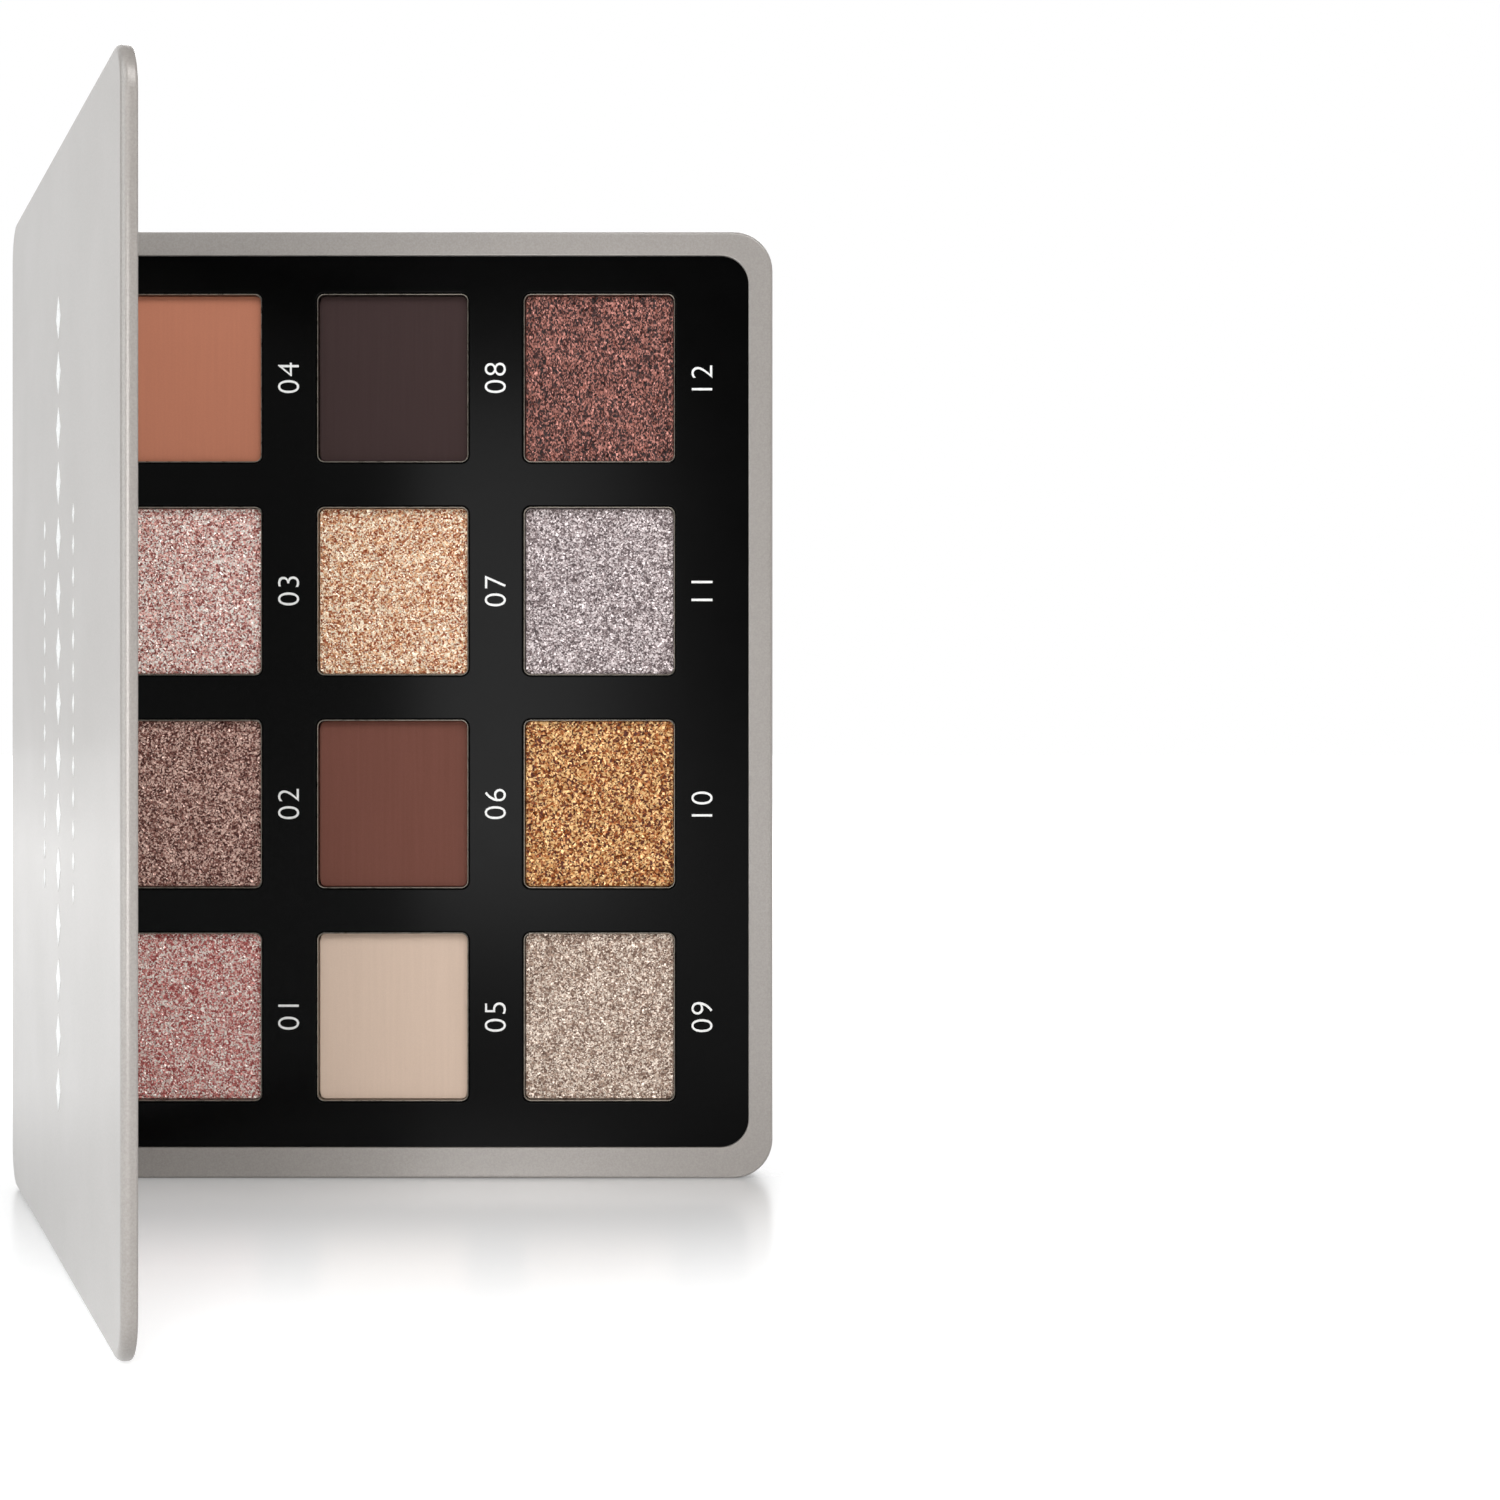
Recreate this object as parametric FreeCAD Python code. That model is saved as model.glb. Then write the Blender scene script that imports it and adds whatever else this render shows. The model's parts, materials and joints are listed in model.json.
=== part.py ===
import FreeCAD, Part

import math
import os

from FreeCAD import Placement, Rotation, Vector

# A slim hinged eyeshadow palette with a grid of pressed powders, standing open on its edge like a book.
# Sizes are in millimetres and degrees.
# Each piece is drawn with the case closed and lying on its back: x runs from the hinge edge to the opening
# edge, y runs along the hinge with zero half way, and z runs from the back up to the lid.
# The lid's pieces are then swung open and the whole case is stood up on its edge.

# Pans and powders
PAN_COLUMNS = 3
PAN_ROWS = 4
PAN_WIDTH = 20.2
PAN_HEIGHT = 22.5
PAN_DEPTH = 4.3
PAN_SHEET = 0.25
PAN_CORNER_RADIUS = 1.0
PAN_FOOT_RADIUS = 0.7
PAN_SETBACK = 0.15
POWDER_SETBACK = 0.65
POWDER_FIT = 0.03
POWDER_EDGE = 0.25
PAD_MARGIN = 3.0
PAD_THICKNESS = 0.2

# Tray with a well for each pan
WELL_GAP = 0.1
WELL_FLOOR = 0.8
WELL_EDGE = 0.15
COLUMN_SPACE = 7.15
ROW_SPACE = 5.7
MARGIN_HINGE = 6.4
MARGIN_FRONT = 9.7
MARGIN_BOTTOM = 5.95
MARGIN_TOP = 4.85
TRAY_SKIN = 1.0
TRAY_WALL = 0.8
TRAY_RIB = 0.8
TRAY_FIT = 0.1
TRAY_PLAY = 0.05

# Base frame: a hollow rim whose lip holds the tray down
OUTER_WALL = 1.0
INNER_WALL = 0.7
LIP_WIDTH = 0.4
LIP_WIDTH_BOTTOM = 1.3
LIP_THICKNESS = 0.5
RIM_THICKNESS = 1.0
CORNER_RADIUS = 5.2
OPENING_RADIUS = 3.8
RIM_EDGE_RADIUS = 0.4
LIP_EDGE_RADIUS = 0.15
BACK_EDGE_RADIUS = 0.8

# Back plate, welded into the frame
PLATE_THICKNESS = 1.2
PLATE_FIT = 0.1
WELD_RING_HEIGHT = 0.8

# Magnets in the hollow of the opening edge, and the steel keepers in the lid above them
MAGNET_LENGTH = 10.0
MAGNET_HEIGHT = 2.5
MAGNET_THICKNESS = 1.0
MAGNET_FIT = 0.05
MAGNET_SPACING = 60.0
KEEPER_WIDTH = 2.0
KEEPER_THICKNESS = 0.5
KEEPER_INSET = 0.75
KEEPER_FIT = 0.02

# Lid with its mirror
LID_GAP = 0.15
LID_SKIN = 0.7
LID_EDGE_RADIUS = 0.9
LID_INNER_EDGE_RADIUS = 0.3
MIRROR_THICKNESS = 0.75
MIRROR_SETBACK = 0.05
MIRROR_LAND = 1.45
MIRROR_RADIUS = 3.0
MIRROR_FIT = 0.1
TAPE_THICKNESS = 0.1
TAPE_MARGIN = 2.0

# Hinge along the left edge: two short knuckles on the base, one long one on the lid
PIN_RADIUS = 0.6
PIN_INSET = 0.5
PIN_ENGAGEMENT = 6.3
PIN_CHAMFER = 0.15
PIN_PRESS_GAP = 0.01
PIN_RUNNING_GAP = 0.05
PIN_END_GAP = 0.4
KNUCKLE_WALL = 0.8
KNUCKLE_LENGTH = 12.0
KNUCKLE_GAP = 0.2
KNUCKLE_EDGE = 0.2
SWING_GAP = 0.2
HINGE_END = 1.8
LEAF_THICKNESS = 1.0
LEAF_ROOT = 0.6
BRACKET_SLOPE = 45.0
LID_OPENING = 66.8

# Limits that keep small radii and edges makeable
LEAST_RADIUS = 0.15
LEAST_LAND = 0.3
LARGEST_FOOT_SHARE = 0.9
SAME_LEVEL = 1e-4

# Sizes that follow from the ones above
WELL_WIDTH = PAN_WIDTH + 2 * WELL_GAP
WELL_HEIGHT = PAN_HEIGHT + 2 * WELL_GAP
WELL_RADIUS = PAN_CORNER_RADIUS + WELL_GAP
COLUMN_PITCH = WELL_WIDTH + COLUMN_SPACE
ROW_PITCH = WELL_HEIGHT + ROW_SPACE

CHANNEL_WIDTH = MAGNET_THICKNESS + 2 * MAGNET_FIT
CHANNEL_INSET = OUTER_WALL + CHANNEL_WIDTH
BAY_INSET = CHANNEL_INSET + INNER_WALL
RIM_WIDTH = BAY_INSET + LIP_WIDTH
RIM_WIDTH_BOTTOM = BAY_INSET + LIP_WIDTH_BOTTOM
RIM_OPENING_RADIUS = max(OPENING_RADIUS, CORNER_RADIUS - RIM_WIDTH)
BAY_RADIUS = RIM_OPENING_RADIUS + LIP_WIDTH

CASE_WIDTH = (2 * RIM_WIDTH + MARGIN_HINGE + MARGIN_FRONT
              + PAN_COLUMNS * WELL_WIDTH + (PAN_COLUMNS - 1) * COLUMN_SPACE)
CASE_HEIGHT = (RIM_WIDTH + RIM_WIDTH_BOTTOM + MARGIN_BOTTOM + MARGIN_TOP
               + PAN_ROWS * WELL_HEIGHT + (PAN_ROWS - 1) * ROW_SPACE)

PAN_STACK = (PLATE_THICKNESS + WELL_FLOOR + PAD_THICKNESS + PAN_DEPTH + PAN_SETBACK
             + TRAY_PLAY + LIP_THICKNESS)
MAGNET_STACK = PLATE_THICKNESS + WELD_RING_HEIGHT + MAGNET_HEIGHT + RIM_THICKNESS
BASE_DEPTH = max(PAN_STACK, MAGNET_STACK)
TRAY_TOP = BASE_DEPTH - LIP_THICKNESS - TRAY_PLAY
PAN_TOP = TRAY_TOP - PAN_SETBACK
PAN_BOTTOM = PAN_TOP - PAN_DEPTH
PAD_BOTTOM = PAN_BOTTOM - PAD_THICKNESS
RIM_UNDERSIDE = BASE_DEPTH - RIM_THICKNESS
FRONT_WALL_X = CASE_WIDTH - OUTER_WALL - CHANNEL_WIDTH / 2

LID_INSIDE = BASE_DEPTH + LID_GAP
MIRROR_FACE = LID_INSIDE + MIRROR_SETBACK
MIRROR_BACK = MIRROR_FACE + MIRROR_THICKNESS
RECESS_FLOOR = MIRROR_BACK + TAPE_THICKNESS
LID_OUTSIDE = RECESS_FLOOR + LID_SKIN
MIRROR_BORDER = KEEPER_INSET + KEEPER_WIDTH + MIRROR_LAND

KNUCKLE_RADIUS = PIN_RADIUS + KNUCKLE_WALL
HINGE_X = -(KNUCKLE_RADIUS + SWING_GAP)
HINGE_Z = BASE_DEPTH + LID_GAP / 2
HINGE_TOP = CASE_HEIGHT / 2 - CORNER_RADIUS - HINGE_END
KNUCKLE_START = HINGE_TOP - KNUCKLE_LENGTH
LID_KNUCKLE_TOP = KNUCKLE_START - KNUCKLE_GAP
PIN_END = LID_KNUCKLE_TOP - PIN_ENGAGEMENT


def upright_edges(solid):
    """Edges that run straight up."""
    return [edge for edge in solid.Edges if edge.BoundBox.ZLength > SAME_LEVEL]


def level_edges(solid, level):
    """Edges that lie at one height."""
    def at_level(edge):
        box = edge.BoundBox
        return abs(box.ZMin - level) < SAME_LEVEL and abs(box.ZMax - level) < SAME_LEVEL

    return [edge for edge in solid.Edges if at_level(edge)]


def mouth_edges(solid, level):
    """Edges round the holes in a flat top face."""
    def at_level(face):
        return abs(face.BoundBox.ZMin - level) < SAME_LEVEL

    top = next(face for face in solid.Faces if at_level(face))
    mouths = [wire for wire in top.Wires if not wire.isSame(top.OuterWire)]
    return [edge for wire in mouths for edge in wire.Edges]


def block(center, size, radius, bottom, top):
    """Upright block with rounded corners."""
    corner = Vector(center[0] - size[0] / 2, center[1] - size[1] / 2, bottom)
    solid = Part.makeBox(size[0], size[1], top - bottom, corner)
    return solid.makeFillet(max(radius, LEAST_RADIUS), upright_edges(solid))


def plain_block(center, size, bottom, top):
    """Upright block with square corners."""
    corner = Vector(center[0] - size[0] / 2, center[1] - size[1] / 2, bottom)
    return Part.makeBox(size[0], size[1], top - bottom, corner)


def case_block(inset, radius, bottom, top):
    """Block with the case's outline, drawn in all round."""
    size = (CASE_WIDTH - 2 * inset, CASE_HEIGHT - 2 * inset)
    return block((CASE_WIDTH / 2, 0), size, radius, bottom, top)


def case_ring(outer_inset, inner_inset, bottom, top):
    """Ring that follows the case's outline."""
    outer = case_block(outer_inset, CORNER_RADIUS - outer_inset, bottom, top)
    inner = case_block(inner_inset, CORNER_RADIUS - inner_inset, bottom, top)
    return outer.cut(inner)


def along_hinge(radius, start, end):
    """Round bar on the hinge's axis, between two places along it."""
    return Part.makeCylinder(radius, end - start, Vector(HINGE_X, start, HINGE_Z), Vector(0, 1, 0))


def bar_along_hinge(profile, start, end):
    """Straight bar along the hinge with a profile given as (x, z) corners."""
    corners = [Vector(x, start, z) for x, z in profile]
    face = Part.Face(Part.makePolygon(corners + corners[:1]))
    return face.extrude(Vector(0, end - start, 0))


def mirrored(shape):
    """The same shape at the hinge's other end."""
    return shape.mirror(Vector(0, 0, 0), Vector(0, 1, 0))


def single_solid(shape):
    """The one solid in a shape, with its flush faces joined."""
    return shape.removeSplitter().Solids[0]


def pan_places():
    """Centre of each pan, up each column in turn, from the hinge."""
    first_x = RIM_WIDTH + MARGIN_HINGE + WELL_WIDTH / 2
    first_y = -CASE_HEIGHT / 2 + RIM_WIDTH_BOTTOM + MARGIN_BOTTOM + WELL_HEIGHT / 2
    return [
        (first_x + column * COLUMN_PITCH, first_y + row * ROW_PITCH)
        for column in range(PAN_COLUMNS)
        for row in range(PAN_ROWS)
    ]


def magnet_places():
    """Distance along the opening edge of each magnet and its keeper."""
    return [-MAGNET_SPACING / 2, MAGNET_SPACING / 2]


def make_base_knuckle():
    """Upper knuckle of the base: a barrel on a sloping bracket, bored for the pin."""
    barrel = along_hinge(KNUCKLE_RADIUS, KNUCKLE_START, HINGE_TOP)
    barrel = barrel.makeChamfer(KNUCKLE_EDGE, [edge for edge in barrel.Edges if edge.Closed])
    slope = math.radians(BRACKET_SLOPE)
    slope_x = HINGE_X - KNUCKLE_RADIUS * math.sin(slope)
    slope_z = HINGE_Z - KNUCKLE_RADIUS * math.cos(slope)
    slope_end = slope_z + slope_x * math.tan(slope)
    bracket = bar_along_hinge(
        [
            (LEAF_ROOT, BASE_DEPTH),
            (HINGE_X, BASE_DEPTH),
            (slope_x, slope_z),
            (0, slope_end),
            (LEAF_ROOT, slope_end),
        ],
        KNUCKLE_START + KNUCKLE_EDGE,
        HINGE_TOP - KNUCKLE_EDGE,
    )
    return barrel.fuse(bracket)


def make_base_frame():
    """Rim with a lip over the tray, a hollow for the magnets, and the two outer knuckles."""
    back_radius = min(BACK_EDGE_RADIUS, OUTER_WALL - LEAST_LAND)
    frame = case_block(0, CORNER_RADIUS, 0, BASE_DEPTH)
    frame = frame.makeFillet(back_radius, level_edges(frame, 0))
    frame = frame.makeFillet(RIM_EDGE_RADIUS, level_edges(frame, BASE_DEPTH))

    opening_center = (CASE_WIDTH / 2, (RIM_WIDTH_BOTTOM - RIM_WIDTH) / 2)
    opening_size = (CASE_WIDTH - 2 * RIM_WIDTH, CASE_HEIGHT - RIM_WIDTH - RIM_WIDTH_BOTTOM)
    frame = frame.cut(block(opening_center, opening_size, RIM_OPENING_RADIUS, 0, BASE_DEPTH))
    frame = frame.makeFillet(LIP_EDGE_RADIUS, mouth_edges(frame, BASE_DEPTH))
    frame = frame.cut(case_block(BAY_INSET, BAY_RADIUS, 0, BASE_DEPTH - LIP_THICKNESS))
    frame = frame.cut(case_block(OUTER_WALL, CORNER_RADIUS - OUTER_WALL, 0, PLATE_THICKNESS))
    frame = frame.cut(case_ring(OUTER_WALL, CHANNEL_INSET, PLATE_THICKNESS, RIM_UNDERSIDE))

    knuckle = make_base_knuckle()
    frame = frame.fuse([knuckle, mirrored(knuckle)])
    bore = along_hinge(PIN_RADIUS + PIN_PRESS_GAP, KNUCKLE_START, HINGE_TOP)
    frame = frame.cut([bore, mirrored(bore)])
    return single_solid(frame)


def make_base_plate():
    """Back plate with the upstanding ring that is welded into the frame's hollow."""
    edge = OUTER_WALL + PLATE_FIT
    plate = case_block(edge, CORNER_RADIUS - edge, 0, PLATE_THICKNESS)
    ring_top = PLATE_THICKNESS + WELD_RING_HEIGHT
    ring = case_ring(edge, CHANNEL_INSET - PLATE_FIT, PLATE_THICKNESS, ring_top)
    return single_solid(plate.fuse(ring))


def make_pan_tray():
    """Tray of wells hung from one skin, with a skirt round it and ribs between the wells."""
    edge = BAY_INSET + TRAY_FIT
    radius = BAY_RADIUS - TRAY_FIT
    underside = TRAY_TOP - TRAY_SKIN
    places = pan_places()

    tray = case_block(edge, radius, PLATE_THICKNESS, TRAY_TOP)
    tray = tray.cut(case_block(edge + TRAY_WALL, radius - TRAY_WALL, PLATE_THICKNESS, underside))

    rib_length_x = CASE_WIDTH - 2 * edge - TRAY_WALL
    rib_length_y = CASE_HEIGHT - 2 * edge - TRAY_WALL
    middle_x = CASE_WIDTH / 2
    ribs = [
        plain_block((middle_x, y), (rib_length_x, TRAY_RIB), PLATE_THICKNESS, underside)
        for y in sorted({y for x, y in places})
    ]
    ribs += [
        plain_block((x, 0), (TRAY_RIB, rib_length_y), PLATE_THICKNESS, underside)
        for x in sorted({x for x, y in places})
    ]
    cup_size = (WELL_WIDTH + 2 * TRAY_WALL, WELL_HEIGHT + 2 * TRAY_WALL)
    cups = [block(place, cup_size, WELL_RADIUS + TRAY_WALL, PLATE_THICKNESS, underside) for place in places]
    tray = tray.fuse(ribs + cups)

    well_size = (WELL_WIDTH, WELL_HEIGHT)
    tray = tray.cut([block(place, well_size, WELL_RADIUS, PAD_BOTTOM, TRAY_TOP) for place in places])
    tray = single_solid(tray)
    return tray.makeFillet(WELL_EDGE, mouth_edges(tray, TRAY_TOP))


def pressed_form(place, inset, radius, foot, bottom, top):
    """Block of a pan's outline, drawn in all round and rounded at the foot."""
    size = (PAN_WIDTH - 2 * inset, PAN_HEIGHT - 2 * inset)
    form = block(place, size, radius, bottom, top)
    return form.makeFillet(min(foot, radius * LARGEST_FOOT_SHARE), level_edges(form, bottom))


def make_pan(place):
    """Pan pressed from thin sheet."""
    inner_radius = max(PAN_CORNER_RADIUS - PAN_SHEET, LEAST_RADIUS)
    inner_foot = max(PAN_FOOT_RADIUS - PAN_SHEET, LEAST_RADIUS)
    outer = pressed_form(place, 0, PAN_CORNER_RADIUS, PAN_FOOT_RADIUS, PAN_BOTTOM, PAN_TOP)
    inner = pressed_form(place, PAN_SHEET, inner_radius, inner_foot, PAN_BOTTOM + PAN_SHEET, PAN_TOP)
    return single_solid(outer.cut(inner))


def make_powder(place):
    """Cake of pressed powder that fills a pan nearly to its rim."""
    inset = PAN_SHEET + POWDER_FIT
    radius = max(PAN_CORNER_RADIUS - PAN_SHEET, LEAST_RADIUS)
    foot = max(PAN_FOOT_RADIUS - PAN_SHEET, LEAST_RADIUS)
    top = PAN_TOP - POWDER_SETBACK
    cake = pressed_form(place, inset, radius, foot, PAN_BOTTOM + PAN_SHEET, top)
    return cake.makeFillet(POWDER_EDGE, level_edges(cake, top))


def make_pan_pads():
    """Adhesive pad under each pan."""
    size = (PAN_WIDTH - 2 * PAD_MARGIN, PAN_HEIGHT - 2 * PAD_MARGIN)
    return Part.makeCompound(
        [block(place, size, PAN_CORNER_RADIUS, PAD_BOTTOM, PAN_BOTTOM) for place in pan_places()]
    )


def make_closing_magnets():
    """Bar magnets glued under the rim at the opening edge."""
    size = (MAGNET_THICKNESS, MAGNET_LENGTH)
    return Part.makeCompound(
        [
            plain_block((FRONT_WALL_X, y), size, RIM_UNDERSIDE - MAGNET_HEIGHT, RIM_UNDERSIDE)
            for y in magnet_places()
        ]
    )


def make_hinge_pins():
    """Steel pins, pressed into the base's knuckles and free to turn in the lid's."""
    pin = along_hinge(PIN_RADIUS, PIN_END, HINGE_TOP - PIN_INSET)
    pin = pin.makeChamfer(PIN_CHAMFER, [edge for edge in pin.Edges if edge.Closed])
    return Part.makeCompound([pin, mirrored(pin)])


def keeper_blocks(spare):
    """A block for each keeper, wider all round by the spare room given."""
    center_x = CASE_WIDTH - KEEPER_INSET - KEEPER_WIDTH / 2
    size = (KEEPER_WIDTH + 2 * spare, MAGNET_LENGTH + 2 * spare)
    top = LID_INSIDE + KEEPER_THICKNESS
    return [plain_block((center_x, y), size, LID_INSIDE, top) for y in magnet_places()]


def make_lid_shell():
    """Lid with a soft outer edge, a recess for the mirror, and the long middle knuckle."""
    inner_edge = LID_INNER_EDGE_RADIUS
    outer_edge = min(LID_EDGE_RADIUS, LID_OUTSIDE - LID_INSIDE - inner_edge - LEAST_RADIUS)
    lid = case_block(0, CORNER_RADIUS, LID_INSIDE, LID_OUTSIDE)
    lid = lid.makeFillet(outer_edge, level_edges(lid, LID_OUTSIDE))
    lid = lid.makeFillet(inner_edge, level_edges(lid, LID_INSIDE))

    barrel = along_hinge(KNUCKLE_RADIUS, -LID_KNUCKLE_TOP, LID_KNUCKLE_TOP)
    leaf_top = LID_INSIDE + LEAF_THICKNESS
    leaf = bar_along_hinge(
        [
            (HINGE_X, LID_INSIDE),
            (LEAF_ROOT, LID_INSIDE),
            (LEAF_ROOT, leaf_top),
            (HINGE_X, leaf_top),
        ],
        -LID_KNUCKLE_TOP,
        LID_KNUCKLE_TOP,
    )
    lid = lid.fuse([barrel, leaf])

    bore = along_hinge(PIN_RADIUS + PIN_RUNNING_GAP, PIN_END - PIN_END_GAP, LID_KNUCKLE_TOP)
    recess = case_block(MIRROR_BORDER, MIRROR_RADIUS + MIRROR_FIT, LID_INSIDE, RECESS_FLOOR)
    lid = lid.cut([bore, mirrored(bore), recess] + keeper_blocks(KEEPER_FIT))
    return single_solid(lid)


def make_mirror():
    """Mirror glass, set just below the lid's inner face."""
    return case_block(MIRROR_BORDER + MIRROR_FIT, MIRROR_RADIUS, MIRROR_FACE, MIRROR_BACK)


def make_mirror_tape():
    """Adhesive sheet between the mirror and the lid."""
    return case_block(MIRROR_BORDER + MIRROR_FIT + TAPE_MARGIN, MIRROR_RADIUS, MIRROR_BACK, RECESS_FLOOR)


def make_keeper_strips():
    """Steel strips flush with the lid's inner face, over the magnets."""
    return Part.makeCompound(keeper_blocks(0))


def base_pieces():
    """Every piece that stays with the base, by name."""
    pieces = {
        "base_frame": make_base_frame(),
        "base_plate": make_base_plate(),
        "pan_tray": make_pan_tray(),
        "pan_pads": make_pan_pads(),
        "closing_magnets": make_closing_magnets(),
        "hinge_pins": make_hinge_pins(),
    }
    for number, place in enumerate(pan_places(), start=1):
        pieces[f"pan_{number:02d}"] = make_pan(place)
        pieces[f"powder_{number:02d}"] = make_powder(place)
    return pieces


def lid_pieces():
    """Every piece that turns with the lid, by name."""
    return {
        "lid_shell": make_lid_shell(),
        "mirror": make_mirror(),
        "mirror_tape": make_mirror_tape(),
        "keeper_strips": make_keeper_strips(),
    }


def place_piece(shape, placement):
    """A copy of a shape, moved."""
    moved = shape.copy()
    moved.Placement = placement.multiply(moved.Placement)
    return moved


def main():
    stand_up = Placement(
        Vector(-CASE_WIDTH / 2, BASE_DEPTH / 2, CASE_HEIGHT / 2),
        Rotation(Vector(1, 0, 0), 90),
    )
    swing_open = Placement(
        Vector(0, 0, 0),
        Rotation(Vector(0, -1, 0), LID_OPENING),
        Vector(HINGE_X, 0, HINGE_Z),
    )
    placed = {name: place_piece(shape, stand_up) for name, shape in base_pieces().items()}
    opened = stand_up.multiply(swing_open)
    placed.update({name: place_piece(shape, opened) for name, shape in lid_pieces().items()})

    os.makedirs("parts", exist_ok=True)
    for name, shape in placed.items():
        shape.exportStep(os.path.join("parts", name + ".step"))
    print(f"case {CASE_WIDTH:.2f} x {CASE_HEIGHT:.2f} mm, base {BASE_DEPTH:.2f} mm, {len(placed)} pieces")


main()
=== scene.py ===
import json
import math
import random
from dataclasses import dataclass

import bmesh
import bpy
from mathutils import Matrix, Vector


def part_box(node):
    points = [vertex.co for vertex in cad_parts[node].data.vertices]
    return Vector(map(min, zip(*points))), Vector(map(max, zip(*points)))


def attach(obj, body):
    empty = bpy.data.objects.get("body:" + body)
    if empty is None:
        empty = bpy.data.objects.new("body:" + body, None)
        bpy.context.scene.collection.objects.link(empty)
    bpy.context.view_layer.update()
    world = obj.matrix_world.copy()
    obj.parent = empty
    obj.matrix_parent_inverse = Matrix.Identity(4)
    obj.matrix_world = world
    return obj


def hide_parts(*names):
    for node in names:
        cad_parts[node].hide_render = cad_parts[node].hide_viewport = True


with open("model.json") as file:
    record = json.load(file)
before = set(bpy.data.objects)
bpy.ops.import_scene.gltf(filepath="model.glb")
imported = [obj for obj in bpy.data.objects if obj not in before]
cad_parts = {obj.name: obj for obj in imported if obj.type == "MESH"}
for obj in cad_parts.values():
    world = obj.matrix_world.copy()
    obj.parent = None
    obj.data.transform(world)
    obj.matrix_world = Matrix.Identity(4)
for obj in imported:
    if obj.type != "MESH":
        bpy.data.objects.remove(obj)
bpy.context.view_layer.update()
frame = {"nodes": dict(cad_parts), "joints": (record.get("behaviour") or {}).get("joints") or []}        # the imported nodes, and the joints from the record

# An eyeshadow palette that stands open like a book: a champagne case with a hinged mirror lid, and a black
# tray with twelve pressed powders. Lengths are metres, angles are degrees, and colours are sRGB, 0 to 255.

MM = 0.001
WHITE = (255, 255, 255)

# Powders: corner, edge rounding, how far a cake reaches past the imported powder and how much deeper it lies,
# and the shares of the rounded edge at which its grid has lines
POWDER_CORNER = 0.85 * MM
POWDER_EDGE = 0.16 * MM
POWDER_SPREAD = 0.1 * MM
POWDER_SINK = 0.25 * MM
EDGE_SHARES = (0.0, 0.08, 0.3, 0.62)
FIRST_SEED = 40


@dataclass
class Finish:
    """How a pressed powder's surface is broken up."""
    step_x: float
    step_z: float
    roughness: float
    jitter: float
    flakes: bool


SHIMMER = Finish(step_x=0.23 * MM, step_z=0.22 * MM, roughness=0.05 * MM, jitter=0.08 * MM, flakes=True)
STREAKED = Finish(step_x=0.20 * MM, step_z=0.32 * MM, roughness=0.05 * MM, jitter=0.06 * MM, flakes=True)
GLITTER = Finish(step_x=0.27 * MM, step_z=0.27 * MM, roughness=0.07 * MM, jitter=0.09 * MM, flakes=True)
MATTE = Finish(step_x=0.16 * MM, step_z=0.90 * MM, roughness=0.0012 * MM, jitter=0.0, flakes=False)


@dataclass
class Shade:
    """A powder's finish and its tones, from its deepest fleck to its lightest; in a shimmer the lightest is
    partly a painted glint.
    """
    finish: Finish
    deep: tuple
    middle: tuple
    light: tuple


# Shades by pan number: left column from the bottom up, then the middle and the right column. A shimmer's
# light tone is partly the pearl's own colour and partly a painted glint.
SHADES = {
    1: Shade(SHIMMER, (160, 70, 67), (224, 149, 141), (243, 231, 222)),
    2: Shade(SHIMMER, (72, 27, 20), (144, 93, 81), (228, 191, 177)),
    3: Shade(SHIMMER, (135, 60, 54), (246, 185, 173), (250, 243, 235)),
    4: Shade(MATTE, (190, 123, 98), (194, 126, 100), (198, 129, 102)),
    5: Shade(MATTE, (222, 197, 178), (226, 201, 182), (230, 205, 186)),
    6: Shade(MATTE, (116, 73, 62), (121, 77, 66), (126, 81, 70)),
    7: Shade(SHIMMER, (145, 64, 22), (228, 174, 128), (253, 237, 212)),
    8: Shade(MATTE, (61, 46, 45), (64, 49, 48), (67, 52, 51)),
    9: Shade(SHIMMER, (116, 91, 78), (174, 147, 129), (236, 220, 205)),
    10: Shade(GLITTER, (80, 25, 2), (172, 92, 26), (246, 202, 140)),
    11: Shade(SHIMMER, (93, 80, 81), (154, 138, 138), (228, 216, 216)),
    12: Shade(STREAKED, (24, 2, 2), (74, 30, 25), (178, 115, 102)),
}

# Flakes: where the deep, middle and light tones stand, and how far soft patches shift them. The light tones
# are partly a painted glint.
# In a matte powder fine grain has a share and press lines have the rest.
FLECK_AND_GLINT_STOPS = (0.18, 0.5, 0.8)
PATCH_SHIFT = 0.1
GRAIN_SHARE = 0.6

# Pans: sheet thickness, the radii of the corner and the foot, and the steps round a corner and over the rim
PAN_SHEET = 0.15 * MM
PAN_CORNER = 1.0 * MM
PAN_FOOT = 0.7 * MM
LOOP_STEPS = 8
RIM_STEPS = 8

# White print on the tray: height, gap to the pan, letter spacing, change of stroke and thickness
NUMBER_HEIGHT = 2.8 * MM
NUMBER_GAP = 3.6 * MM
NUMBER_SPACING = 1.12
NUMBER_THINNING = -0.012
PRINT_THICKNESS = 0.03 * MM


@dataclass
class OrnamentRow:
    """A row of white lozenges on the lid: its distance from the hinge edge, and its lozenges' half sizes."""
    from_hinge: float
    count: int
    pitch: float
    half_across: float
    half_along: float


ORNAMENT_ROWS = (
    OrnamentRow(36.0 * MM, count=13, pitch=3.4 * MM, half_across=0.7 * MM, half_along=1.1 * MM),
    OrnamentRow(49.0 * MM, count=15, pitch=6.2 * MM, half_across=1.9 * MM, half_along=2.4 * MM),
    OrnamentRow(62.0 * MM, count=13, pitch=3.4 * MM, half_across=0.7 * MM, half_along=1.1 * MM),
)

# Camera: level, in front of the palette's right half
CAMERA_PLACE = (46.0 * MM, -315.4 * MM, 62.1 * MM)
CAMERA_LENS = 56.24
CAMERA_SHIFT = -0.0255
CAMERA_CLIP = 10 * MM

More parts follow.
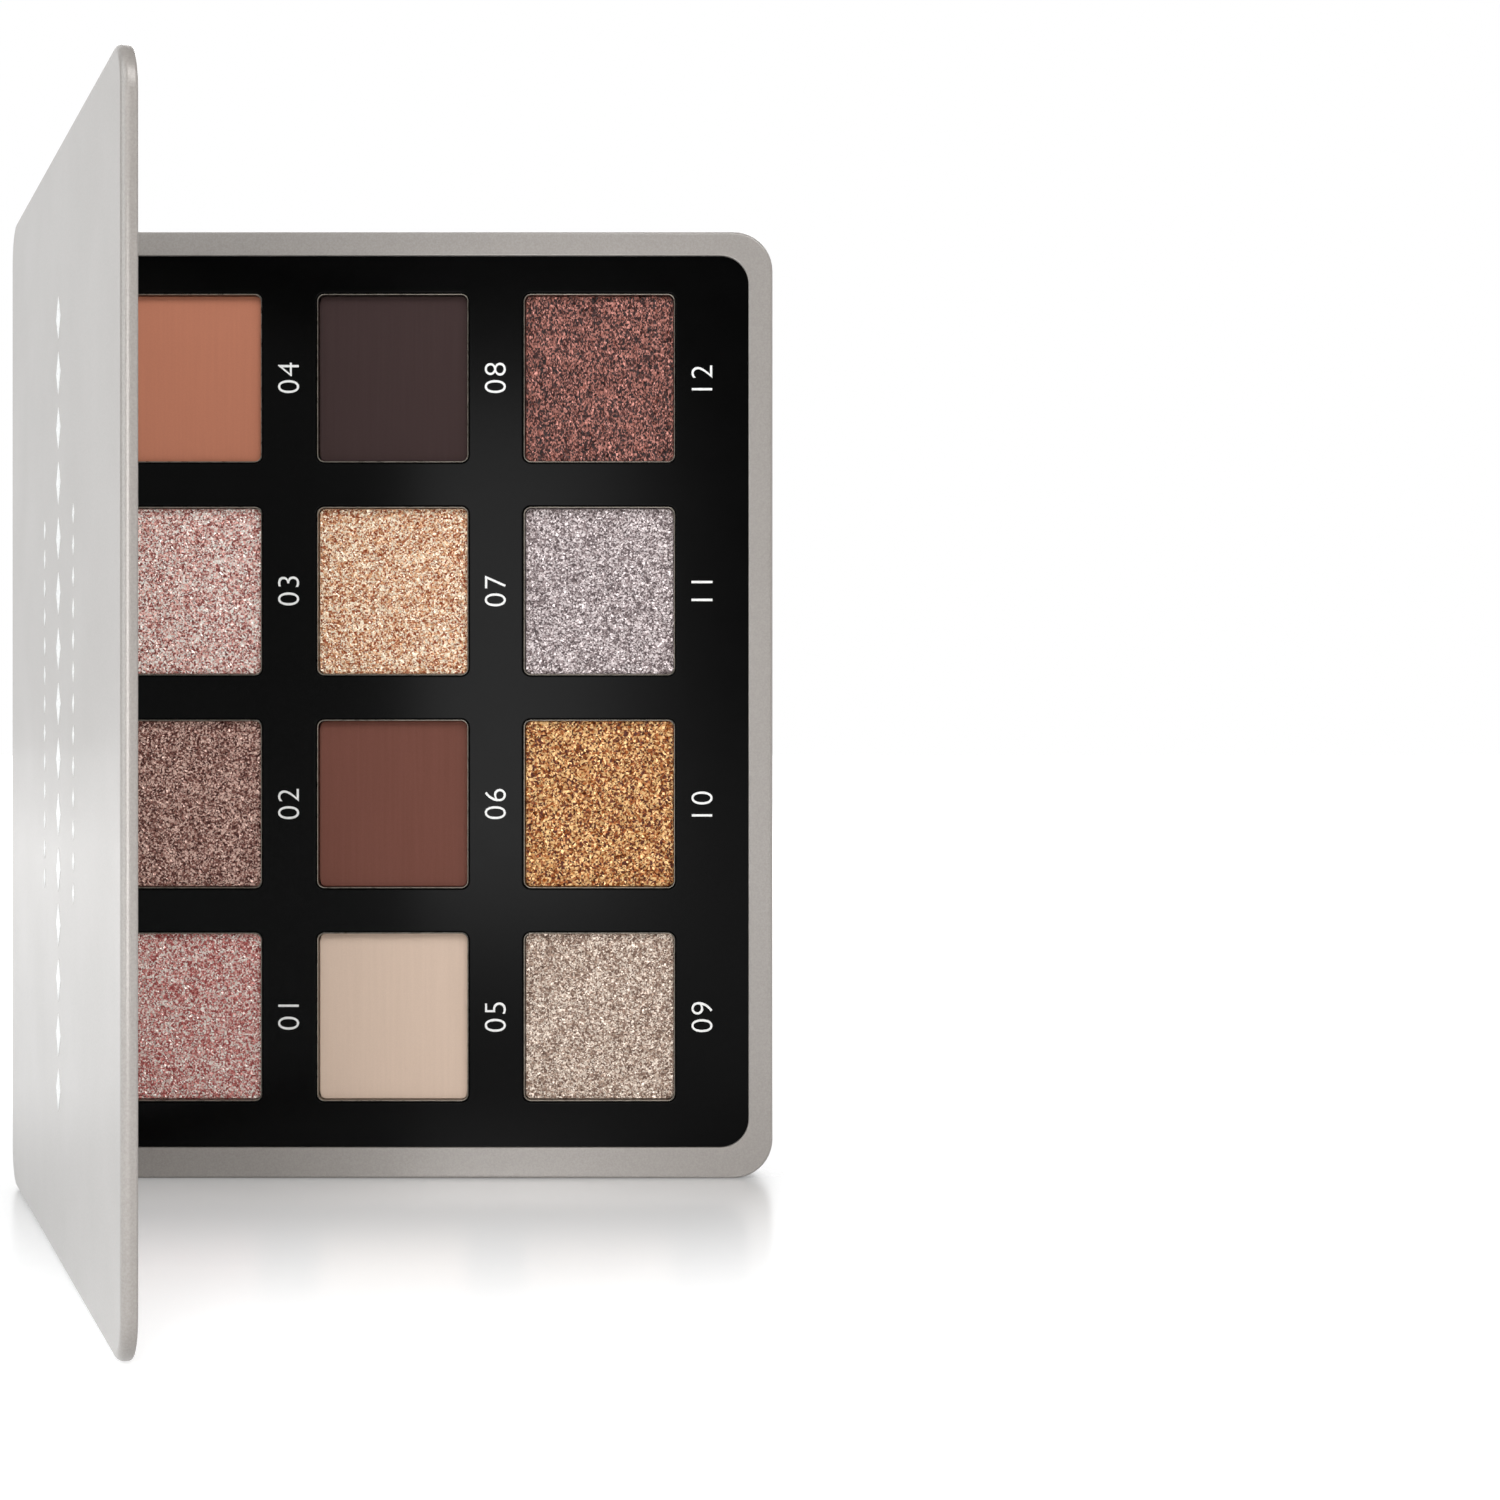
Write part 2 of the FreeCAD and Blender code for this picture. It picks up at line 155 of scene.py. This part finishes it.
# Floor: its glow grows from near to far, and its reflection of the palette fades within a reach
FLOOR_SIZE = 6.0
FLOOR_DROP = 0.05 * MM
FLOOR_TONE = (208, 208, 208)
FLOOR_GLOW = 0.68
FLOOR_NEAR = 0.15
FLOOR_FAR = 0.8
REFLECTION_REACH = 88 * MM
REFLECTION_SHARE = 0.73
REFLECTION_FALL = 1.2
REFLECTION_ROUGHNESS = 0.2

# World: its soft light, and the room seen in reflections. Each wall has the share of a direction at which it
# begins and the share at which it is full.
WORLD_LIGHT = 0.42
ROOM_TONE = (60, 60, 60)
BACK_WALL = (0.4, 0.7)
RIGHT_WALL = (0.58, 0.72)
RIGHT_WALL_LIGHT = 0.9


@dataclass
class Softbox:
    """A rectangular lamp: its place, what it is turned to, its width and height, its watts and its tint."""
    name: str
    place: tuple
    target: tuple
    size: tuple
    power: float
    tint: tuple = (1.0, 1.0, 1.0)


# A broad cool lamp for the lid, wide ones high in front and behind, and a card seen in the tray's gloss
SOFTBOXES = (
    Softbox(
        "lid_softbox",
        place=(-0.39, -0.28, 0.24),
        target=(-0.032, -0.05, 0.063),
        size=(0.4, 0.5),
        power=0.95,
        tint=(0.87, 0.955, 1.0),
    ),
    Softbox(
        "front_softbox",
        place=(0.26, -0.80, 0.82),
        target=(0.0, 0.0, 0.063),
        size=(0.8, 0.5),
        power=5.5,
    ),
    Softbox(
        "back_softbox",
        place=(0.0, 0.85, 0.65),
        target=(0.0, 0.0, 0.063),
        size=(0.8, 0.5),
        power=4.5,
    ),
    Softbox(
        "tray_card",
        place=(-0.045, -0.335, 0.078),
        target=(-0.045, 0.0, 0.078),
        size=(0.11, 0.145),
        power=0.28,
    ),
)

# Values between which most of a noise lies
NOISE_LOW = 0.3
NOISE_HIGH = 0.7


def linear(color):
    """The linear colour of an sRGB one."""
    def channel(value):
        share = value / 255
        return share / 12.92 if share <= 0.04045 else ((share + 0.055) / 1.055) ** 2.4
    return (*[channel(value) for value in color], 1.0)


# Shader nodes

def add_node(tree, kind, inputs=None, **settings):
    """A new shader node, with each input set to a value or linked to a socket."""
    node = tree.nodes.new("ShaderNode" + kind)
    for name, value in settings.items():
        setattr(node, name, value)
    for name, value in (inputs or {}).items():
        if isinstance(value, bpy.types.NodeSocket):
            tree.links.new(value, node.inputs[name])
        else:
            node.inputs[name].default_value = value
    return node


def color_ramp(tree, factor, stops):
    """A colour that goes through the stops, each a position and an sRGB colour, as the factor rises."""
    node = add_node(tree, "ValToRGB", {"Fac": factor})
    elements = node.color_ramp.elements
    elements.remove(elements[1])
    elements[0].position = stops[0][0]
    elements[0].color = linear(stops[0][1])
    for position, color in stops[1:]:
        elements.new(position).color = linear(color)
    return node.outputs["Color"]


def map_range(tree, value, low, high, to_low, to_high):
    """The value, carried from one range to another."""
    inputs = {"Value": value, "From Min": low, "From Max": high, "To Min": to_low, "To Max": to_high}
    return add_node(tree, "MapRange", inputs).outputs["Result"]


def math_node(tree, operation, first, second=0.0):
    """The result of one sum on two values."""
    return add_node(tree, "Math", {0: first, 1: second}, operation=operation).outputs["Value"]


def noise(tree, vector, size, detail):
    """Noise whose features are about the given size."""
    inputs = {"Vector": vector, "Scale": 1 / size, "Detail": detail}
    return add_node(tree, "TexNoise", inputs).outputs["Fac"]


def tones(tree, value, *colors):
    """A colour that goes evenly through some sRGB colours as a noise rises."""
    step = (NOISE_HIGH - NOISE_LOW) / (len(colors) - 1)
    return color_ramp(tree, value, [(NOISE_LOW + i * step, color) for i, color in enumerate(colors)])


def levels(tree, value, low, high):
    """A number that goes from low to high as a noise rises."""
    return map_range(tree, value, NOISE_LOW, NOISE_HIGH, low, high)


def stretched(tree, vector, scale):
    """Coordinates stretched along the axes."""
    return add_node(tree, "Mapping", {"Vector": vector, "Scale": scale}).outputs["Vector"]


def bump(tree, height, strength, depth):
    """A normal tilted by a height."""
    inputs = {"Height": height, "Strength": strength, "Distance": depth}
    return add_node(tree, "Bump", inputs).outputs["Normal"]


def new_material(name, **values):
    """A material, its node tree, its main shader and its object coordinates."""
    material = bpy.data.materials.new(name)
    material.use_nodes = True
    tree = material.node_tree
    shader = tree.nodes["Principled BSDF"]
    for socket, value in values.items():
        shader.inputs[socket.replace("_", " ")].default_value = value
    place = add_node(tree, "TexCoord").outputs["Object"]
    return material, tree, shader, place


def link_to(tree, shader, **sockets):
    """Links node outputs to the shader's sockets."""
    for name, output in sockets.items():
        tree.links.new(output, shader.inputs[name.replace("_", " ")])


# Materials

def case_paint():
    """Satin champagne paint with a fine metal flake, under a thin lacquer."""
    lacquer = {"Coat_Weight": 0.33, "Coat_Roughness": 0.15}
    material, tree, shader, place = new_material("case_paint", Metallic=0.12, **lacquer)
    flake = noise(tree, place, size=0.22 * MM, detail=1.0)
    color = tones(tree, flake, (155, 149, 144), (160, 154, 149), (165, 159, 154))
    cloud = noise(tree, place, size=18 * MM, detail=3.0)
    rough = levels(tree, cloud, low=0.3, high=0.35)
    peel = noise(tree, place, size=0.5 * MM, detail=2.0)
    relief = bump(tree, peel, strength=0.06, depth=0.02 * MM)
    link_to(tree, shader, Base_Color=color, Roughness=rough, Normal=relief)
    return material


def tray_gloss():
    """Gloss black moulding, with faint handling haze."""
    material, tree, shader, place = new_material("tray_gloss", Specular_IOR_Level=0.06)
    haze = noise(tree, place, size=4 * MM, detail=4.0)
    color = tones(tree, haze, (4, 4, 4), (5, 5, 5))
    rough = levels(tree, haze, low=0.19, high=0.2)
    ripple = noise(tree, place, size=3 * MM, detail=1.0)
    relief = bump(tree, ripple, strength=0.01, depth=0.01 * MM)
    link_to(tree, shader, Base_Color=color, Roughness=rough, Normal=relief)
    return material


def pan_metal():
    """Drawn aluminium, with fine marks that run round the wall."""
    material, tree, shader, place = new_material("pan_metal", Metallic=1.0)
    drawn = noise(tree, stretched(tree, place, scale=(1.0, 12.0, 1.0)), size=1.2 * MM, detail=3.0)
    color = tones(tree, drawn, (118, 112, 104), (144, 137, 127))
    rough = levels(tree, drawn, low=0.24, high=0.34)
    relief = bump(tree, drawn, strength=0.03, depth=0.01 * MM)
    link_to(tree, shader, Base_Color=color, Roughness=rough, Normal=relief)
    return material


def mirror_glass():
    """A silvered mirror, with the faintest smear."""
    material, tree, shader, place = new_material("mirror_glass", Metallic=1.0)
    smear = noise(tree, stretched(tree, place, scale=(1.0, 1.0, 0.3)), size=14 * MM, detail=3.0)
    color = tones(tree, smear, (232, 235, 234), (241, 243, 242))
    rough = map_range(tree, smear, low=0.45, high=0.75, to_low=0.01, to_high=0.035)
    link_to(tree, shader, Base_Color=color, Roughness=rough)
    return material


def bare_metal(name, dark, bright, rough_low, rough_high):
    """Cut or plated metal, with grain along its length."""
    material, tree, shader, place = new_material(name, Metallic=1.0)
    grain = noise(tree, stretched(tree, place, scale=(6.0, 6.0, 1.0)), size=1.5 * MM, detail=3.0)
    color = tones(tree, grain, dark, bright)
    rough = levels(tree, grain, rough_low, rough_high)
    relief = bump(tree, grain, strength=0.04, depth=0.01 * MM)
    link_to(tree, shader, Base_Color=color, Roughness=rough, Normal=relief)
    return material


def adhesive_pad():
    """Pale double-sided tape."""
    material, tree, shader, place = new_material("adhesive_pad", Roughness=0.7)
    fiber = noise(tree, place, size=0.6 * MM, detail=4.0)
    color = tones(tree, fiber, (214, 208, 194), (233, 229, 219))
    link_to(tree, shader, Base_Color=color, Normal=bump(tree, fiber, strength=0.2, depth=0.03 * MM))
    return material


def white_print(name):
    """A thin layer of glossy white ink."""
    material, tree, shader, place = new_material(name, Specular_IOR_Level=0.6)
    cover = noise(tree, place, size=0.4 * MM, detail=2.0)
    color = tones(tree, cover, (242, 242, 240), (251, 251, 249))
    rough = levels(tree, cover, low=0.26, high=0.36)
    link_to(tree, shader, Base_Color=color, Roughness=rough)
    return material


def shimmer_powder(name, shade):
    """Pressed pearl: each flake has its own tone, partly the pearl's colour and partly a painted glint at the
    light end, and the tones gather in soft patches.
    """
    material, tree, shader, place = new_material(name, Metallic=0.4, Specular_IOR_Level=0.6)
    fleck_and_glint = add_node(tree, "Attribute", attribute_name="fleck_and_glint").outputs["Fac"]
    patch = levels(tree, noise(tree, place, size=2.2 * MM, detail=3.0), low=-PATCH_SHIFT, high=PATCH_SHIFT)
    tone = math_node(tree, "ADD", fleck_and_glint, patch)
    stops = list(zip(FLECK_AND_GLINT_STOPS, (shade.deep, shade.middle, shade.light)))
    rough = map_range(tree, fleck_and_glint, low=0.0, high=1.0, to_low=0.5, to_high=0.28)
    link_to(tree, shader, Base_Color=color_ramp(tree, tone, stops), Roughness=rough)
    return material


def matte_powder(name, shade):
    """Pressed matte powder with fine grain and faint upright press lines."""
    material, tree, shader, place = new_material(name, Specular_IOR_Level=0.15)
    grain = noise(tree, place, size=0.14 * MM, detail=3.0)
    lines = noise(tree, stretched(tree, place, scale=(1.0, 1.0, 0.03)), size=0.5 * MM, detail=2.0)
    grain_part = math_node(tree, "MULTIPLY", grain, GRAIN_SHARE)
    line_part = math_node(tree, "MULTIPLY", lines, 1 - GRAIN_SHARE)
    tone = math_node(tree, "ADD", grain_part, line_part)
    color = tones(tree, tone, shade.deep, shade.middle, shade.light)
    rough = levels(tree, grain, low=0.82, high=0.95)
    relief = bump(tree, grain, strength=0.25, depth=0.02 * MM)
    link_to(tree, shader, Base_Color=color, Roughness=rough, Normal=relief)
    return material


def powder_material(number):
    """The material of one pan's powder."""
    shade = SHADES[number]
    make = shimmer_powder if shade.finish.flakes else matte_powder
    return make(f"powder_{number:02d}_finish", shade)


def dress_nodes():
    """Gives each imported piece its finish, by the name of its material slot."""
    steel = bare_metal("keeper_steel", (164, 164, 166), (182, 182, 184), rough_low=0.3, rough_high=0.36)
    nickel = bare_metal("magnet_nickel", (180, 178, 174), (200, 198, 194), rough_low=0.24, rough_high=0.32)
    finishes = {
        "case": case_paint(),
        "tray": tray_gloss(),
        "mirror": mirror_glass(),
        "steel": steel,
        "magnet": nickel,
        "adhesive": adhesive_pad(),
    }
    for node in frame["nodes"].values():
        for slot in node.material_slots:
            if slot.material.name in finishes:
                slot.material = finishes[slot.material.name]


# Pieces

def add_piece(name, mesh, material, body):
    """A new object that rides on a body."""
    mesh.materials.append(material)
    piece = bpy.data.objects.new(name, mesh)
    bpy.context.scene.collection.objects.link(piece)
    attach(piece, body)
    return piece


def mesh_from(name, build):
    """A mesh made from a bmesh, which is freed."""
    mesh = bpy.data.meshes.new(name)
    build.to_mesh(mesh)
    build.free()
    return mesh


def rounded_loop(build, low, high, inset, depth):
    """Vertices round a pan's outline, drawn in by an inset, at a depth behind its rim."""
    radius = max(PAN_CORNER - inset, PAN_SHEET)
    loop = []
    for side_x, side_z, start in ((1, 1, 0), (-1, 1, 90), (-1, -1, 180), (1, -1, 270)):
        center_x = (high.x - inset - radius) if side_x > 0 else (low.x + inset + radius)
        center_z = (high.z - inset - radius) if side_z > 0 else (low.z + inset + radius)
        for i in range(LOOP_STEPS + 1):
            angle = math.radians(start + 90 * i / LOOP_STEPS)
            x = center_x + radius * math.cos(angle)
            z = center_z + radius * math.sin(angle)
            loop.append(build.verts.new((x, low.y + depth, z)))
    return loop


def pan_profile(depth):
    """Insets and depths along a pan's section, from its underside over its round rim to its floor."""
    rim = PAN_SHEET / 2
    inner_foot = PAN_FOOT - PAN_SHEET
    turns = [math.radians(90 * i / LOOP_STEPS) for i in range(LOOP_STEPS + 1)]
    over = [math.radians(180 * i / RIM_STEPS) for i in range(RIM_STEPS + 1)]
    outside = [(PAN_FOOT * (1 - math.sin(a)), depth - PAN_FOOT * (1 - math.cos(a))) for a in turns]
    edge = [(rim - rim * math.cos(a), rim - rim * math.sin(a)) for a in over]
    floor = depth - PAN_SHEET
    inside = [
        (PAN_SHEET + inner_foot * (1 - math.cos(a)), floor - inner_foot * (1 - math.sin(a)))
        for a in turns
    ]
    return outside + edge + inside


def pan_dish(number, material):
    """A pressed pan with a round rim."""
    name = f"pan_{number:02d}"
    low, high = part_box(name)
    build = bmesh.new()
    loops = [rounded_loop(build, low, high, *point) for point in pan_profile(high.y - low.y)]
    for loop, following in zip(loops, loops[1:]):
        for i in range(len(loop)):
            after = (i + 1) % len(loop)
            build.faces.new([loop[i], following[i], following[after], loop[after]])
    build.faces.new(loops[0])
    build.faces.new(loops[-1][::-1])
    bmesh.ops.recalc_face_normals(build, faces=build.faces)
    for face in build.faces:
        face.smooth = True
    piece = add_piece(f"{name}_dish", mesh_from(name, build), material, "base")
    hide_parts(name)


def grid_lines(start, end, step):
    """Places from start to end: close together on the rounded edges, then in even steps."""
    edge = [share * POWDER_EDGE for share in EDGE_SHARES]
    inner_start = start + POWDER_EDGE
    inner_end = end - POWDER_EDGE
    count = max(2, round((inner_end - inner_start) / step))
    inner = [inner_start + (inner_end - inner_start) * i / count for i in range(count + 1)]
    return [start + offset for offset in edge] + inner + [end - offset for offset in reversed(edge)]


def round_corner(offset_x, offset_z, half_x, half_z):
    """A grid point moved so that the outline has round corners, and its distance from the outline."""
    over_x = (abs(offset_x) - (half_x - POWDER_CORNER)) / POWDER_CORNER
    over_z = (abs(offset_z) - (half_z - POWDER_CORNER)) / POWDER_CORNER
    inset = (1 - max(over_x, over_z)) * POWDER_CORNER
    if over_x <= 0 or over_z <= 0:
        return offset_x, offset_z, inset
    reach = max(over_x, over_z)
    angle = math.atan2(over_z, over_x)
    rounded_x = half_x - POWDER_CORNER + reach * math.cos(angle) * POWDER_CORNER
    rounded_z = half_z - POWDER_CORNER + reach * math.sin(angle) * POWDER_CORNER
    return math.copysign(rounded_x, offset_x), math.copysign(rounded_z, offset_z), inset


def edge_drop(inset):
    """How far the rounded edge of a cake lies below its face, at a distance from its outline."""
    rise = min(max(inset, 0.0), POWDER_EDGE)
    return POWDER_EDGE - math.sqrt(POWDER_EDGE ** 2 - (POWDER_EDGE - rise) ** 2)


def cake_front(build, low, high, finish, draw):
    """The front of a pressed cake as rows of vertices, each row from left to right."""
    columns = grid_lines(low.x, high.x, finish.step_x)
    rows = grid_lines(low.z, high.z, finish.step_z)
    middle = (low + high) / 2
    half = (high - low) / 2
    press_lines = [draw.gauss(0, finish.roughness) for _ in columns]
    front = []
    for z in rows:
        line = []
        for x, press_line in zip(columns, press_lines):
            offset_x, offset_z, inset = round_corner(x - middle.x, z - middle.z, half.x, half.z)
            depth = edge_drop(inset)
            if inset > POWDER_EDGE:
                offset_x += draw.uniform(-finish.jitter, finish.jitter)
                offset_z += draw.uniform(-finish.jitter, finish.jitter)
            if inset > POWDER_EDGE / 2:
                depth += draw.gauss(0, finish.roughness) if finish.flakes else press_line
            line.append(build.verts.new((middle.x + offset_x, low.y + depth, middle.z + offset_z)))
        front.append(line)
    return front


def powder_cake(number):
    """One pressed powder: a face of flakes or of press lines, with rounded edges, sides and a flat back."""
    name = f"powder_{number:02d}"
    low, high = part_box(name)
    low += Vector((-POWDER_SPREAD, POWDER_SINK, -POWDER_SPREAD))
    high += Vector((POWDER_SPREAD, 0, POWDER_SPREAD))
    finish = SHADES[number].finish
    draw = random.Random(FIRST_SEED + number)
    build = bmesh.new()
    # Each flake's random tone; its light end is partly a painted glint
    fleck_and_glint = build.faces.layers.float.new("fleck_and_glint")
    front = cake_front(build, low, high, finish, draw)
    for lower, upper in zip(front, front[1:]):
        for i in range(len(lower) - 1):
            corners = [lower[i], lower[i + 1], upper[i + 1], upper[i]]
            if not finish.flakes:
                build.faces.new(corners)
                continue
            turn = draw.randrange(2)
            corners = corners[turn:] + corners[:turn]
            build.faces.new(corners[:3])[fleck_and_glint] = draw.random()
            build.faces.new([corners[2], corners[3], corners[0]])[fleck_and_glint] = draw.random()
    outline = front[0][:-1] + [line[-1] for line in front[:-1]]
    outline += front[-1][:0:-1] + [line[0] for line in front[:0:-1]]
    back = [build.verts.new((vertex.co.x, high.y, vertex.co.z)) for vertex in outline]
    for i, vertex in enumerate(outline):
        after = (i + 1) % len(outline)
        build.faces.new([vertex, back[i], back[after], outline[after]])
    build.faces.new(back[::-1])
    for face in build.faces:
        face.smooth = not finish.flakes
    piece = add_piece(f"{name}_cake", mesh_from(name, build), powder_material(number), "base")
    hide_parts(name)


def number_mesh(number):
    """A two-digit number as a thin mesh that reads upwards and faces the front, centred on the origin."""
    text = bpy.data.curves.new("number", "FONT")
    text.body = f"{number:02d}"
    text.space_character = NUMBER_SPACING
    text.offset = NUMBER_THINNING
    text.extrude = PRINT_THICKNESS / 2
    holder = bpy.data.objects.new("number", text)
    mesh = bpy.data.meshes.new_from_object(holder)
    bpy.data.objects.remove(holder)
    bpy.data.curves.remove(text)
    low = [min(vertex.co[axis] for vertex in mesh.vertices) for axis in range(2)]
    high = [max(vertex.co[axis] for vertex in mesh.vertices) for axis in range(2)]
    size = NUMBER_HEIGHT / (high[1] - low[1])
    center = Matrix.Translation((-(low[0] + high[0]) / 2, -(low[1] + high[1]) / 2, 0))
    upright = Matrix(((0, -1, 0, 0), (0, 0, -1, 0), (1, 0, 0, 0), (0, 0, 0, 1)))
    mesh.transform(upright @ Matrix.Diagonal((size, size, 1, 1)) @ center)
    return mesh


def add_numbers():
    """White numbers to the right of the pans."""
    ink = white_print("number_ink")
    tray_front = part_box("pan_tray")[0].y
    for number in SHADES:
        low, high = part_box(f"pan_{number:02d}")
        place = Vector((high.x + NUMBER_GAP, tray_front, (low.z + high.z) / 2))
        mesh = number_mesh(number)
        mesh.transform(Matrix.Translation(place))
        add_piece(f"number_{number:02d}", mesh, ink, "base")


def lid_turn():
    """The turn that carries a point of the closed lid to where it is at rest."""
    hinge = frame["joints"][0]
    pivot = Matrix.Translation(hinge["pos_m"])
    opening = -math.radians(hinge["range_deg"][0])
    return pivot @ Matrix.Rotation(opening, 4, Vector(hinge["axis"])) @ pivot.inverted()


def add_lozenge(build, center, half_across, half_along, thickness):
    """A thin diamond on the closed lid's outer face, which looks along -Y."""
    points = [(0, -half_along), (half_across, 0), (0, half_along), (-half_across, 0)]
    back = [build.verts.new(center + Vector((x, 0, z))) for x, z in points]
    front = [build.verts.new(center + Vector((x, -thickness, z))) for x, z in points]
    build.faces.new(front)
    build.faces.new(back[::-1])
    for i in range(len(points)):
        after = (i + 1) % len(points)
        build.faces.new([front[i], back[i], back[after], front[after]])


def add_lid_ornament():
    """Three rows of plain white lozenges on the lid's outer face."""
    turn = lid_turn()
    to_closed = turn.inverted()
    closed = [to_closed @ vertex.co for vertex in frame["nodes"]["lid_shell"].data.vertices]
    face_y = min(point.y for point in closed)
    hinge_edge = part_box("base_plate")[0].x
    middle_z = (min(point.z for point in closed) + max(point.z for point in closed)) / 2
    build = bmesh.new()
    for row in ORNAMENT_ROWS:
        for i in range(row.count):
            z = middle_z + (i - (row.count - 1) / 2) * row.pitch
            center = Vector((hinge_edge + row.from_hinge, face_y, z))
            add_lozenge(build, center, row.half_across, row.half_along, PRINT_THICKNESS)
    mesh = mesh_from("lid_ornament", build)
    mesh.transform(turn)
    add_piece("lid_ornament", mesh, white_print("lid_ink"), "lid")


# Studio

def add_floor():
    """A white floor that keeps a soft shadow and a reflection that fades away from the palette."""
    build = bmesh.new()
    bmesh.ops.create_grid(build, x_segments=1, y_segments=1, size=FLOOR_SIZE / 2)
    floor = bpy.data.objects.new("floor", mesh_from("floor", build))
    floor.location.z = -FLOOR_DROP
    bpy.context.scene.collection.objects.link(floor)
    material = bpy.data.materials.new("floor_white")
    material.use_nodes = True
    tree = material.node_tree
    tree.nodes.remove(tree.nodes["Principled BSDF"])
    place = add_node(tree, "SeparateXYZ", {0: add_node(tree, "TexCoord").outputs["Object"]}).outputs
    half_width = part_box("base_plate")[1].x
    beside = math_node(tree, "SUBTRACT", math_node(tree, "ABSOLUTE", place["X"]), half_width)
    beside = math_node(tree, "MAXIMUM", beside, 0.0)
    away = add_node(tree, "CombineXYZ", {0: beside, 1: place["Y"]}).outputs[0]
    away = add_node(tree, "VectorMath", {0: away}, operation="LENGTH").outputs["Value"]
    path = add_node(tree, "LightPath").outputs
    seen = math_node(tree, "MAXIMUM", path["Is Camera Ray"], path["Is Glossy Ray"])
    seen = math_node(tree, "MAXIMUM", seen, path["Is Transmission Ray"])
    whiteness = map_range(tree, away, FLOOR_NEAR, FLOOR_FAR, FLOOR_GLOW, 1.0)
    glow = add_node(tree, "Emission", {"Strength": math_node(tree, "MULTIPLY", seen, whiteness)})
    matte = add_node(tree, "BsdfDiffuse", {"Color": linear(FLOOR_TONE)})
    ground = add_node(tree, "AddShader", {0: glow.outputs[0], 1: matte.outputs[0]})
    near = map_range(tree, away, 0.0, REFLECTION_REACH, 1.0, 0.0)
    share = math_node(tree, "MULTIPLY", math_node(tree, "POWER", near, REFLECTION_FALL), REFLECTION_SHARE)
    gloss = add_node(tree, "BsdfGlossy", {"Roughness": REFLECTION_ROUGHNESS})
    surface = add_node(tree, "MixShader", {0: share, 1: ground.outputs[0], 2: gloss.outputs[0]})
    tree.links.new(surface.outputs[0], tree.nodes["Material Output"].inputs["Surface"])
    floor.data.materials.append(material)


def add_world():
    """White behind the palette, and in reflections a room that is dark in front and bright on the right."""
    world = bpy.data.worlds.new("studio")
    bpy.context.scene.world = world
    world.use_nodes = True
    tree = world.node_tree
    path = add_node(tree, "LightPath").outputs
    direct = math_node(tree, "MAXIMUM", path["Is Camera Ray"], path["Is Transmission Ray"])
    seen = math_node(tree, "MAXIMUM", direct, path["Is Glossy Ray"])
    direction = add_node(tree, "SeparateXYZ", {0: add_node(tree, "TexCoord").outputs["Generated"]}).outputs
    behind = map_range(tree, direction["Y"], *BACK_WALL, to_low=0.0, to_high=1.0)
    right = map_range(tree, direction["X"], *RIGHT_WALL, to_low=0.0, to_high=RIGHT_WALL_LIGHT)
    brightness = math_node(tree, "MAXIMUM", behind, right)
    room = color_ramp(tree, brightness, [(0.0, ROOM_TONE), (1.0, WHITE)])
    shown = add_node(tree, "Background", {"Color": room})
    white = add_node(tree, "Background", {"Color": linear(WHITE), "Strength": 1.0})
    soft = tree.nodes["Background"]
    soft.inputs["Color"].default_value = linear(WHITE)
    soft.inputs["Strength"].default_value = WORLD_LIGHT
    backdrop = add_node(tree, "MixShader", {0: direct, 1: shown.outputs[0], 2: white.outputs[0]})
    surface = add_node(tree, "MixShader", {0: seen, 1: soft.outputs[0], 2: backdrop.outputs[0]})
    tree.links.new(surface.outputs[0], tree.nodes["World Output"].inputs["Surface"])


def add_lights():
    """The softboxes, each turned towards its target."""
    for softbox in SOFTBOXES:
        lamp = bpy.data.lights.new(softbox.name, "AREA")
        lamp.color = softbox.tint
        lamp.shape = "RECTANGLE"
        lamp.size, lamp.size_y = softbox.size
        lamp.energy = softbox.power
        box = bpy.data.objects.new(softbox.name, lamp)
        box.location = softbox.place
        aim = Vector(softbox.target) - Vector(softbox.place)
        box.rotation_euler = aim.to_track_quat("-Z", "Y").to_euler()
        bpy.context.scene.collection.objects.link(box)


def add_camera():
    """A level camera that keeps the palette's uprights upright."""
    lens = bpy.data.cameras.new("camera")
    lens.lens = CAMERA_LENS
    lens.shift_y = CAMERA_SHIFT
    lens.clip_start = CAMERA_CLIP
    camera = bpy.data.objects.new("camera", lens)
    camera.location = CAMERA_PLACE
    camera.rotation_euler = (math.radians(90), 0, 0)
    bpy.context.scene.collection.objects.link(camera)
    bpy.context.scene.camera = camera


add_camera()
dress_nodes()
pan_finish = pan_metal()
for pan_number in SHADES:
    pan_dish(pan_number, pan_finish)
    powder_cake(pan_number)
add_numbers()
add_lid_ornament()
add_floor()
add_world()
add_lights()
bpy.context.scene.view_settings.view_transform = "Standard"
